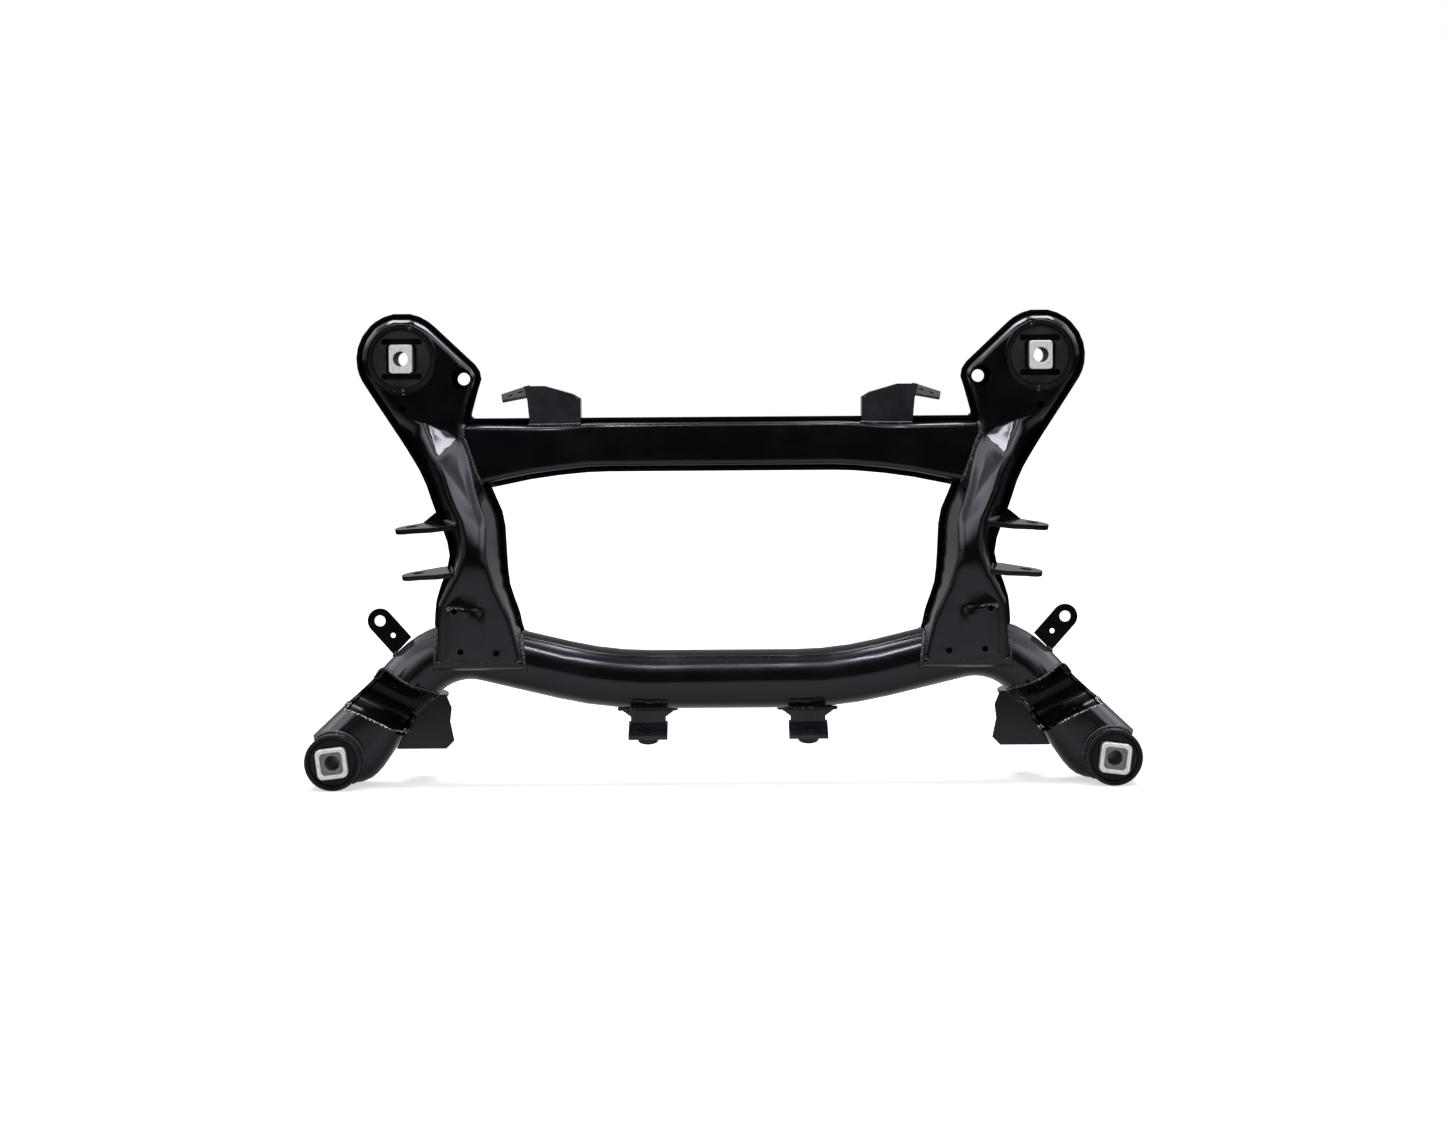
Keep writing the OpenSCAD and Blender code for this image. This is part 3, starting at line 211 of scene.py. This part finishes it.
def glossPaint(name, flecks=0.0, shine=1.0, dustier=1.0):
    paint = Finish(name)
    place = paint.place()
    cloudy = paint.noise(place, *gloss["cloud"])
    haze = paint.rise(paint.noise(place, *gloss["haze"]), *gloss["hazeEdge"])
    gritEdge = [edge - gloss["gritShift"] * flecks for edge in gloss["gritEdge"]]
    grit = paint.rise(paint.noise(place, *gloss["grit"]), *gritEdge)
    start, end = gloss["patchEdge"]
    patch = paint.rise(paint.noise(place, *gloss["patch"]), start - gloss["patchShift"] * flecks, end)
    base, dust = [[dustier * v for v in gloss[shade]] for shade in ("base", "dust")]
    # light flecks: chipped paint on the brackets, and painted highlights of the bead ripples on the welds and
    # the scoop's rim
    chipsAndGlints = grit * patch * flecks
    wearAndGlints = paint.colour(chipsAndGlints, paint.colour(haze * cloudy, base, dust), gloss["chipAndGlint"])
    rough = gloss["smooth"] + (gloss["rough"] - gloss["smooth"]) * haze * cloudy + chipsAndGlints * gloss["chipAndGlintRough"]
    wavy = paint.bump(paint.noise(place, *gloss["wave"]), *gloss["waveBump"])
    peel = paint.bump(paint.noise(place, *gloss["peel"]), *gloss["peelBump"], wavy)
    return paint.surface({"Base Color": wearAndGlints, "Roughness": rough, "Coat Weight": gloss["coat"] * shine,
                          "Coat Roughness": gloss["coatRough"], "Specular Tint": gloss["tint"],
                          "Specular IOR Level": gloss["specular"] * shine, "Normal": peel})


def middleOf(node):
    low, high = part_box(node)
    return [(a + b) / 2 for a, b in zip(low, high)]


rubberShades = {"ear": {"base": (0.013, 0.013, 0.014), "bloom": (0.022, 0.022, 0.024), "ringFrom": 0.0275},
                "arm": {"base": (0.006, 0.006, 0.007), "bloom": (0.014, 0.014, 0.015), "ringFrom": 0.0400}}
# the darkest rubber colour is painted shade for the deep gap between the rubber and the sleeve
rubberLook = {"ring": (0.002, 0.002, 0.002), "span": 0.05, "soft": 0.03, "rough": 0.5, "bloomRough": 0.2,
              "specular": 0.3, "bloom": (60, 5), "bloomEdge": (0.45, 0.7),
              "grain": (1400, 3), "grainBump": (0.15, 0.0003)}


def mouldedRubber(end):
    shades = rubberShades[end]
    rubber = Finish(end + "Rubber")
    place = rubber.place()
    across, _, up = rubber.axes(place)
    middle = middleOf(end + "_bush_core_right")
    aside = (across * across) ** 0.5 - middle[0]  # the left mount folds onto the right one
    above = up - middle[2]
    out = (aside * aside + above * above) ** 0.5 / rubberLook["span"]
    ringFrom = shades["ringFrom"] / rubberLook["span"]
    # painted shade: the rubber turns dark next to the sleeve and stands for the deep gap there
    ring = rubber.rise(out, ringFrom, ringFrom + rubberLook["soft"])  # dark next to the sleeve
    bloom = rubber.rise(rubber.noise(place, *rubberLook["bloom"]), *rubberLook["bloomEdge"])
    grain = rubber.noise(place, *rubberLook["grain"])
    face = rubber.colour(bloom, shades["base"], shades["bloom"])
    return rubber.surface({"Base Color": rubber.colour(ring, face, rubberLook["ring"]),
                           "Roughness": rubberLook["rough"] + rubberLook["bloomRough"] * bloom,
                           "Specular IOR Level": rubberLook["specular"],
                           "Normal": rubber.bump(grain, *rubberLook["grainBump"])})


coreLook = {"light": (0.78, 0.77, 0.78), "scuff": (0.36, 0.35, 0.36), "recess": (0.26, 0.26, 0.27),
            "span": 0.02, "recessEdge": (0.05, 0.2), "metallic": 0.35, "rough": 0.48, "castRough": 0.2,
            "scuffs": (240, 5, 0.7), "scuffEdge": (0.55, 0.68), "scuffShare": 0.7,
            "fine": (900, 4, 0.7), "fineShare": 0.6, "cast": (160, 4), "castBump": (0.25, 0.0005)}


def bareCore(end):
    core = Finish(end + "Core")
    place = core.place()
    deep = core.axes(place)[1]
    front, back = [corner[1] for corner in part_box(end + "_bush_core_right")]
    nearestEnd = ((deep - front) / coreLook["span"]).atMost((back - deep) / coreLook["span"])
    # painted shade: the core is darker away from its two ends, inside its bore and deep in the rubber
    recessShadeMask = core.rise(nearestEnd, *coreLook["recessEdge"])
    fine = core.noise(place, *coreLook["fine"])
    cast = core.noise(place, *coreLook["cast"])
    scuff = core.rise(core.noise(place, *coreLook["scuffs"]), *coreLook["scuffEdge"])
    scuffed = core.colour(scuff * coreLook["scuffShare"], coreLook["light"], coreLook["scuff"])
    return core.surface({"Base Color": core.colour(recessShadeMask, scuffed, coreLook["recess"]),
                         "Metallic": coreLook["metallic"],
                         "Roughness": coreLook["rough"] + coreLook["castRough"] * cast,
                         "Normal": core.bump(fine * coreLook["fineShare"] + cast, *coreLook["castBump"])})


sleeveLook = {"dark": (0.006, 0.006, 0.007), "light": (0.03, 0.03, 0.032), "metallic": 0.6, "rough": 0.32,
              "cloudRough": 0.25, "cloud": (120, 4), "grain": (700, 2), "grainBump": (0.1, 0.0003)}


def darkSleeve():
    sleeve = Finish("darkSleeve")
    place = sleeve.place()
    cloudy = sleeve.noise(place, *sleeveLook["cloud"])
    grain = sleeve.noise(place, *sleeveLook["grain"])
    return sleeve.surface({"Base Color": sleeve.colour(cloudy, sleeveLook["dark"], sleeveLook["light"]),
                           "Metallic": sleeveLook["metallic"],
                           "Roughness": sleeveLook["rough"] + sleeveLook["cloudRough"] * cloudy,
                           "Normal": sleeve.bump(grain, *sleeveLook["grainBump"])})


paintPanel = glossPaint("blackPaint")
# painted highlights: the light flecks on the welds stand for glints on the bead ripples
paintWeld = glossPaint("blackPaintOnWelds", flecks=0.65)
paintBracket = glossPaint("blackPaintOnBrackets", flecks=0.15)
paintDusty = glossPaint("dustyPaintOnBrackets", flecks=0.15, dustier=8.0)
# painted shade: a copy of the black paint with less shine, so the scoop reads darker
shadedScoopPaint = glossPaint("shadedBlackPaintInScoop", flecks=0.25, shine=0.35)
# painted highlight: flecks so dense that the bead on the scoop's lower rim reads as a thin light line
paintRim = glossPaint("paintedHighlightOnRim", flecks=2.0)
rubberFinish = {end: mouldedRubber(end) for end in ("ear", "arm")}
coreFinish = {end: bareCore(end) for end in ("ear", "arm")}
sleeveFinish = darkSleeve()
print("finishes made")


# every node is copied and its doubled corners merged; a width above 0 also eases its edges

easing = {  # width in metres, and the angle in degrees up to which shading is smooth
    "front_cross_tube": (0.0, 40), "arm_front_shell": (0.0008, 34), "arm_back_shell": (0.0008, 34),
    "arm_trough": (0.0, 34), "arm_bush_housing": (0.0007, 34), "arm_bush_sleeve": (0.0004, 34),
    "arm_bush_rubber": (0.0012, 34), "arm_bush_core": (0.0009, 34), "side_member_front_shell": (0.0, 30),
    "side_member_back_shell": (0.0, 30), "ear_bush_housing": (0.0007, 34), "ear_bush_sleeve": (0.0004, 34),
    "ear_bush_rubber": (0.001, 34), "ear_bush_core": (0.0009, 34), "rear_cross_front_shell": (0.0, 32),
    "rear_cross_back_shell": (0.0, 32), "upper_link_rear_plate": (0.0007, 34),
    "upper_link_front_plate": (0.0007, 34), "lower_link_bracket": (0.0007, 34),
    "stabiliser_bracket": (0.0006, 34), "line_tab": (0.0006, 34), "differential_bracket": (0.0008, 34),
    "differential_nut": (0.0006, 34),
}
edgeWork = {"merge": 0.00001, "flatDegrees": 0.2, "bevelDegrees": 38, "segments": 2}
slotOf = {part["node"]: part["material_slot"] for part in frame["record"]["subparts"]}


def kindOf(node):
    for side in sides:
        if node.endswith("_" + side):
            return node[:-len(side) - 1]
    return node


def finishOf(node):
    end = node[:3]  # ear or arm, for the pieces of a mount
    if slotOf[node] == "mount_rubber":
        return rubberFinish[end]
    if slotOf[node] == "bare_core":
        return coreFinish[end]
    if slotOf[node] == "mount_sleeve":
        return sleeveFinish
    if kindOf(node) == "arm_trough":
        return shadedScoopPaint
    if kindOf(node) in ("stabiliser_bracket", "differential_bracket"):
        return paintDusty
    return paintBracket if "bracket" in node or "nut" in node else paintPanel


def easedCopy(node):
    width, angle = easing[kindOf(node)]
    piece = bpy.data.objects.new(node + "_eased", nodes[node].data.copy())
    bpy.context.scene.collection.objects.link(piece)
    pick(piece)
    bpy.ops.object.mode_set(mode="EDIT")
    bpy.ops.mesh.select_all(action="SELECT")
    bpy.ops.mesh.remove_doubles(threshold=edgeWork["merge"])
    if width:
        bpy.ops.mesh.dissolve_limited(angle_limit=math.radians(edgeWork["flatDegrees"]))
    bpy.ops.object.mode_set(mode="OBJECT")
    if width:
        bevel = piece.modifiers.new("easedEdges", "BEVEL")
        bevel.width = width
        bevel.segments = edgeWork["segments"]
        bevel.limit_method = "ANGLE"
        bevel.angle_limit = math.radians(edgeWork["bevelDegrees"])
        applyModifiers(piece)
    smoothEdges(piece, angle)
    even = piece.modifiers.new("evenShading", "WEIGHTED_NORMAL")  # large faces stay flat
    even.mode = "FACE_AREA_WITH_ANGLE" if "side_member" in node else "FACE_AREA"
    even.keep_sharp = True
    applyModifiers(piece)
    finishPiece(piece, finishOf(node))
    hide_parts(node)


for node in sorted(nodes):
    easedCopy(node)
print("copied", len(nodes), "nodes")


# weld beads: ripples along the line where two pieces meet

beadLook = {"facing": 0.45, "turned": 0.3,  # a rim has one face above the first and one below the second
            "digits": 5, "stride": 0.0012, "pitch": 0.38, "segments": 8, "rings": 5, "smooth": 80}
surfaces = {}


def surfaceOf(node):
    if node not in surfaces:
        mesh = nodes[node].data
        turn = nodes[node].matrix_world
        surfaces[node] = BVHTree.FromPolygons([turn @ v.co for v in mesh.vertices],
                                              [list(face.vertices) for face in mesh.polygons])
    return surfaces[node]


def seamPoints(first, second, facing, gap):
    mesh = nodes[first].data
    turn = nodes[first].matrix_world
    corners = {}
    for face in mesh.polygons:
        for corner in face.vertices:
            spot = turn @ mesh.vertices[corner].co
            key = tuple(round(v, beadLook["digits"]) for v in spot)
            corners.setdefault(key, []).append(face.normal.dot(facing))
    rim = [Vector(spot) for spot, leans in corners.items()
           if max(leans) > beadLook["facing"] and min(leans) < beadLook["turned"]]
    return [spot for spot in rim if surfaceOf(second).find_nearest(spot, gap)[0]]


def chained(spots, along, jump):
    waiting = sorted(spots, key=lambda spot: spot.dot(along))
    paths = [[waiting.pop(0)]]
    while waiting:
        last = paths[-1][-1]
        nearest = min(waiting, key=lambda spot: (spot - last).length)
        waiting.remove(nearest)
        stride = (nearest - last).length
        if stride > jump:
            paths.append([nearest])
        elif stride > beadLook["stride"]:
            paths[-1].append(nearest)
    return [path for path in paths if len(path) > 1]


def rippleChain(path, size):
    line = bpy.data.curves.new("seam", "CURVE")
    line.dimensions = "3D"
    spline = line.splines.new("POLY")
    spline.points.add(len(path) - 1)
    for point, spot in zip(spline.points, path):
        point.co = (*spot, 1)
    guide = bpy.data.objects.new("seam", line)
    bpy.context.scene.collection.objects.link(guide)
    deselectAll()
    bpy.ops.mesh.primitive_uv_sphere_add(segments=beadLook["segments"], ring_count=beadLook["rings"],
                                         radius=size / 2, location=(0, 0, 0))
    ripple = bpy.context.object
    row = ripple.modifiers.new("row", "ARRAY")
    row.fit_type = "FIT_CURVE"
    row.curve = guide
    row.use_relative_offset = False
    row.use_constant_offset = True
    row.constant_offset_displace = (size * beadLook["pitch"], 0, 0)
    bend = ripple.modifiers.new("bend", "CURVE")
    bend.object = guide
    applyModifiers(ripple)
    bpy.data.objects.remove(guide)
    return ripple


welds = [  # facing is written for the right side and turned for the left
    {"name": "crossEndWeld", "first": "rear_cross_front_shell", "second": "side_member_front_shell_",
     "facing": (0, -1, 0), "along": (0, 0, 1), "size": 0.0056, "gap": 0.0015, "jump": 0.03},
    {"name": "crossTopWeld", "first": "rear_cross_back_shell", "second": "side_member_back_shell_",
     "facing": (0, 0, 1), "along": (0, 1, 0), "size": 0.0042, "gap": 0.0015, "jump": 0.03},
    {"name": "crossBackWeld", "first": "rear_cross_back_shell", "second": "side_member_back_shell_",
     "facing": (0, 1, 0), "along": (0, 0, 1), "size": 0.0045, "gap": 0.004, "jump": 0.08},
    {"name": "footWeld", "first": "side_member_front_shell_", "second": "front_cross_tube",
     "facing": (-1, 0, 0), "along": (0, 0, 1), "size": 0.0055, "gap": 0.002, "jump": 0.02},
    {"name": "footOuterWeld", "first": "side_member_front_shell_", "second": "front_cross_tube",
     "facing": (1, 0, 0), "along": (0, 0, 1), "size": 0.005, "gap": 0.002, "jump": 0.02},
    {"name": "footBackWeld", "first": "side_member_back_shell_", "second": "front_cross_tube",
     "facing": (-1, 0, 0), "along": (0, 0, 1), "size": 0.005, "gap": 0.002, "jump": 0.02},
    {"name": "upperClevisWeld", "first": "upper_link_rear_plate_", "second": "side_member_front_shell_",
     "facing": (0, 0, 1), "along": (0, 1, 0), "size": 0.0042, "gap": 0.0015, "jump": 0.06},
    {"name": "lowerClevisWeld", "first": "upper_link_front_plate_", "second": "side_member_front_shell_",
     "facing": (0, 0, 1), "along": (0, 1, 0), "size": 0.0042, "gap": 0.0015, "jump": 0.06},
    {"name": "tabWeld", "first": "line_tab_", "second": "front_cross_tube",
     "facing": (0, -1, 0), "along": (1, 0, 0), "size": 0.004, "gap": 0.002, "jump": 0.03},
    {"name": "differentialWeld", "first": "differential_bracket_", "second": "front_cross_tube",
     "facing": (0, -1, 0), "along": (1, 0, 0), "size": 0.0045, "gap": 0.004, "jump": 0.08},
    {"name": "stabiliserWeld", "first": "stabiliser_bracket_", "second": "rear_cross_front_shell",
     "facing": (0, -1, 0), "along": (1, 0, 0), "size": 0.0038, "gap": 0.0015, "jump": 0.06},
    {"name": "armRingWeld", "first": "arm_front_shell_", "second": "arm_bush_housing_",
     "facing": (0, -1, 0), "along": (0, 0, 1), "size": 0.0045, "gap": 0.0015, "jump": 0.03},
    {"name": "armRingBackWeld", "first": "arm_back_shell_", "second": "arm_bush_housing_",
     "facing": (0, 1, 0), "along": (0, 0, 1), "size": 0.005, "gap": 0.0015, "jump": 0.03},
    {"name": "scoopHighWeld", "first": "front_cross_tube", "second": "arm_trough_",
     "facing": (0, -1, 0), "along": (1, 0, 0), "size": 0.0035, "gap": 0.006, "jump": 0.03},
    # the bead on the scoop's lower rim carries a painted highlight line
    {"name": "scoopLowWeld", "first": "arm_front_shell_", "second": "arm_trough_",
     "facing": (0, -1, 0), "along": (1, 0, 0), "size": 0.002, "gap": 0.009, "jump": 0.03, "wearAndGlints": True},
    {"name": "armBackWeld", "first": "arm_back_shell_", "second": "front_cross_tube",
     "facing": (0, 1, 0), "along": (0, 0, 1), "size": 0.005, "gap": 0.002, "jump": 0.03},
    {"name": "lowerLinkWeld", "first": "lower_link_bracket_", "second": "arm_back_shell_",
     "facing": (0, 0, 1), "along": (1, 0, 0), "size": 0.0045, "gap": 0.002, "jump": 0.06},
]


def addWeld(weld, side):
    first, second = [n + side if n.endswith("_") else n for n in (weld["first"], weld["second"])]
    across, deep, up = weld["facing"]
    spots = seamPoints(first, second, Vector((across * sides[side], deep, up)), weld["gap"])
    spots = [spot for spot in spots if spot.x * sides[side] > 0]
    chains = chained(spots, Vector(weld["along"]), weld["jump"]) if spots else []
    rows = [rippleChain(path, weld["size"]) for path in chains]
    if not rows:
        print("no seam for", weld["name"], side)
        return
    deselectAll()
    for row in rows:
        row.select_set(True)
    bpy.context.view_layer.objects.active = rows[0]
    if len(rows) > 1:
        bpy.ops.object.join()
    bead = bpy.context.view_layer.objects.active
    bead.name = weld["name"] + side.capitalize()
    smoothEdges(bead, beadLook["smooth"])
    finishPiece(bead, paintRim if weld.get("wearAndGlints") else paintWeld)


for weld in welds:
    for side in sides:
        addWeld(weld, side)
print("welds laid")


# stage: pale floor, lamps and world

stageLook = {"size": 60.0, "white": 0.60, "unlit": 0.02, "near": 0.5, "far": 1.3,
             "nearShare": 0.6, "farShare": 0.4, "reflected": 0.12}


def paleFloor():
    bpy.ops.mesh.primitive_plane_add(size=stageLook["size"], location=(0, 0, 0))
    floor = bpy.context.object
    floor.name = "floor"
    pale = Finish("paleFloor")
    direct, glossy = pale.rays()
    away = pale.node("ShaderNodeVectorMath", {"operation": "LENGTH"}, {0: pale.place()}, "Value")
    fade = ((away - stageLook["near"]) / (stageLook["far"] - stageLook["near"])).atLeast(0.0).atMost(1.0)
    share = stageLook["nearShare"] + stageLook["farShare"] * fade
    lit = pale.node("ShaderNodeBsdfDiffuse", None, {"Color": grey(stageLook["white"])})
    unlit = pale.node("ShaderNodeBsdfDiffuse", None, {"Color": grey(stageLook["unlit"])})
    ground = pale.node("ShaderNodeMixShader", None, {0: glossy * share, 1: lit, 2: unlit})  # mirrored darker
    strength = direct * share + glossy * (1 - fade) * stageLook["reflected"]
    glow = pale.node("ShaderNodeEmission", None, {"Strength": strength})
    both = pale.node("ShaderNodeAddShader", None, {0: ground, 1: glow})
    pale.node("ShaderNodeOutputMaterial", None, {"Surface": both})
    floor.data.materials.append(pale.material)


lamps = [
    {"name": "frontHighLeft", "at": (-0.185, -1.4, 2.05), "aim": (0.1, 0.0, 0.1),
     "size": (0.05, 0.5), "watts": 3.2},
    {"name": "frontHighRight", "at": (0.185, -1.4, 2.05), "aim": (-0.1, 0.0, 0.1),
     "size": (0.05, 0.5), "watts": 3.2},
    {"name": "overheadLeft", "at": (-0.69, 0.2, 2.4), "aim": (0.28, -0.04, 0.34),
     "size": (1.2, 1.0), "watts": 42},
    {"name": "overheadRight", "at": (0.69, 0.2, 2.4), "aim": (-0.28, -0.04, 0.34),
     "size": (1.2, 1.0), "watts": 42},
]


def addLamp(lamp):
    at = Vector(lamp["at"])
    bpy.ops.object.light_add(type="AREA", location=at)
    light = bpy.context.object
    light.name = lamp["name"]
    light.rotation_euler = (Vector(lamp["aim"]) - at).to_track_quat("-Z", "Y").to_euler()
    light.data.shape = "RECTANGLE"
    light.data.size, light.data.size_y = lamp["size"]
    light.data.energy = lamp["watts"]


worldLook = {"fill": 0.6, "sideGlow": 2.6, "frontGlow": 0.25, "low": 0.03, "behind": 0.3,
             "asideEdge": (0.2, 0.5), "highEdge": (0.5, 0.72), "ahead": [(0.68, 1), (0.9, 0)],
             "wings": [(0.2, 0.15), (0.5, 1), (0.58, 1), (0.7, 0.45)]}


def studioWorld():
    world = bpy.data.worlds.new("studio")
    bpy.context.scene.world = world
    world.use_nodes = True
    studio = Finish("studio", world.node_tree)
    direct, glossy = studio.rays()
    way = studio.node("ShaderNodeTexCoord", output="Generated")
    across, deep, up = studio.axes(way)
    aside = studio.rise((across * across) ** 0.5, *worldLook["asideEdge"])
    ahead = studio.ramp(deep * 0.5 + 0.5, worldLook["ahead"])  # a ramp starts at 0, deep at -1
    high = studio.rise(up, *worldLook["highEdge"]) * worldLook["frontGlow"]
    wings = studio.ramp(up, worldLook["wings"]) * worldLook["sideGlow"]
    mirrored = (high + aside * (wings - high)) * ahead + (1 - ahead) * worldLook["behind"] + worldLook["low"]
    strength = direct + (1 - direct) * (glossy * mirrored + (1 - glossy) * worldLook["fill"])
    glow = studio.node("ShaderNodeBackground", None, {"Color": grey(1), "Strength": strength})
    studio.node("ShaderNodeOutputWorld", None, {"Surface": glow})


paleFloor()
for lamp in lamps:
    addLamp(lamp)
studioWorld()
print("stage lit")


# camera at the photo's angle: 1 mm a pixel in the plane of the tube

photo = {"width": 1445, "focalPx": 3300, "pxPerMetre": 1000, "pitch": 3.05, "roll": -0.40,
         "aimX": 0.0003, "aimZ": 0.2135, "plane": -0.0119, "sensor": 36, "clipEnd": 100}


def photoCamera():
    pitch = math.radians(photo["pitch"])
    reach = photo["focalPx"] / photo["pxPerMetre"]
    bpy.ops.object.camera_add(location=(photo["aimX"], photo["plane"] - reach * math.cos(pitch),
                                        photo["aimZ"] + reach * math.sin(pitch)))
    camera = bpy.context.object
    turn = Matrix.Rotation(math.pi / 2 - pitch, 4, "X") @ Matrix.Rotation(math.radians(photo["roll"]), 4, "Z")
    camera.rotation_euler = turn.to_euler()
    camera.data.sensor_fit = "HORIZONTAL"
    camera.data.sensor_width = photo["sensor"]
    camera.data.lens = photo["sensor"] * photo["focalPx"] / photo["width"]
    camera.data.clip_end = photo["clipEnd"]
    bpy.context.scene.camera = camera


photoCamera()
bpy.context.scene.view_settings.view_transform = "Standard"
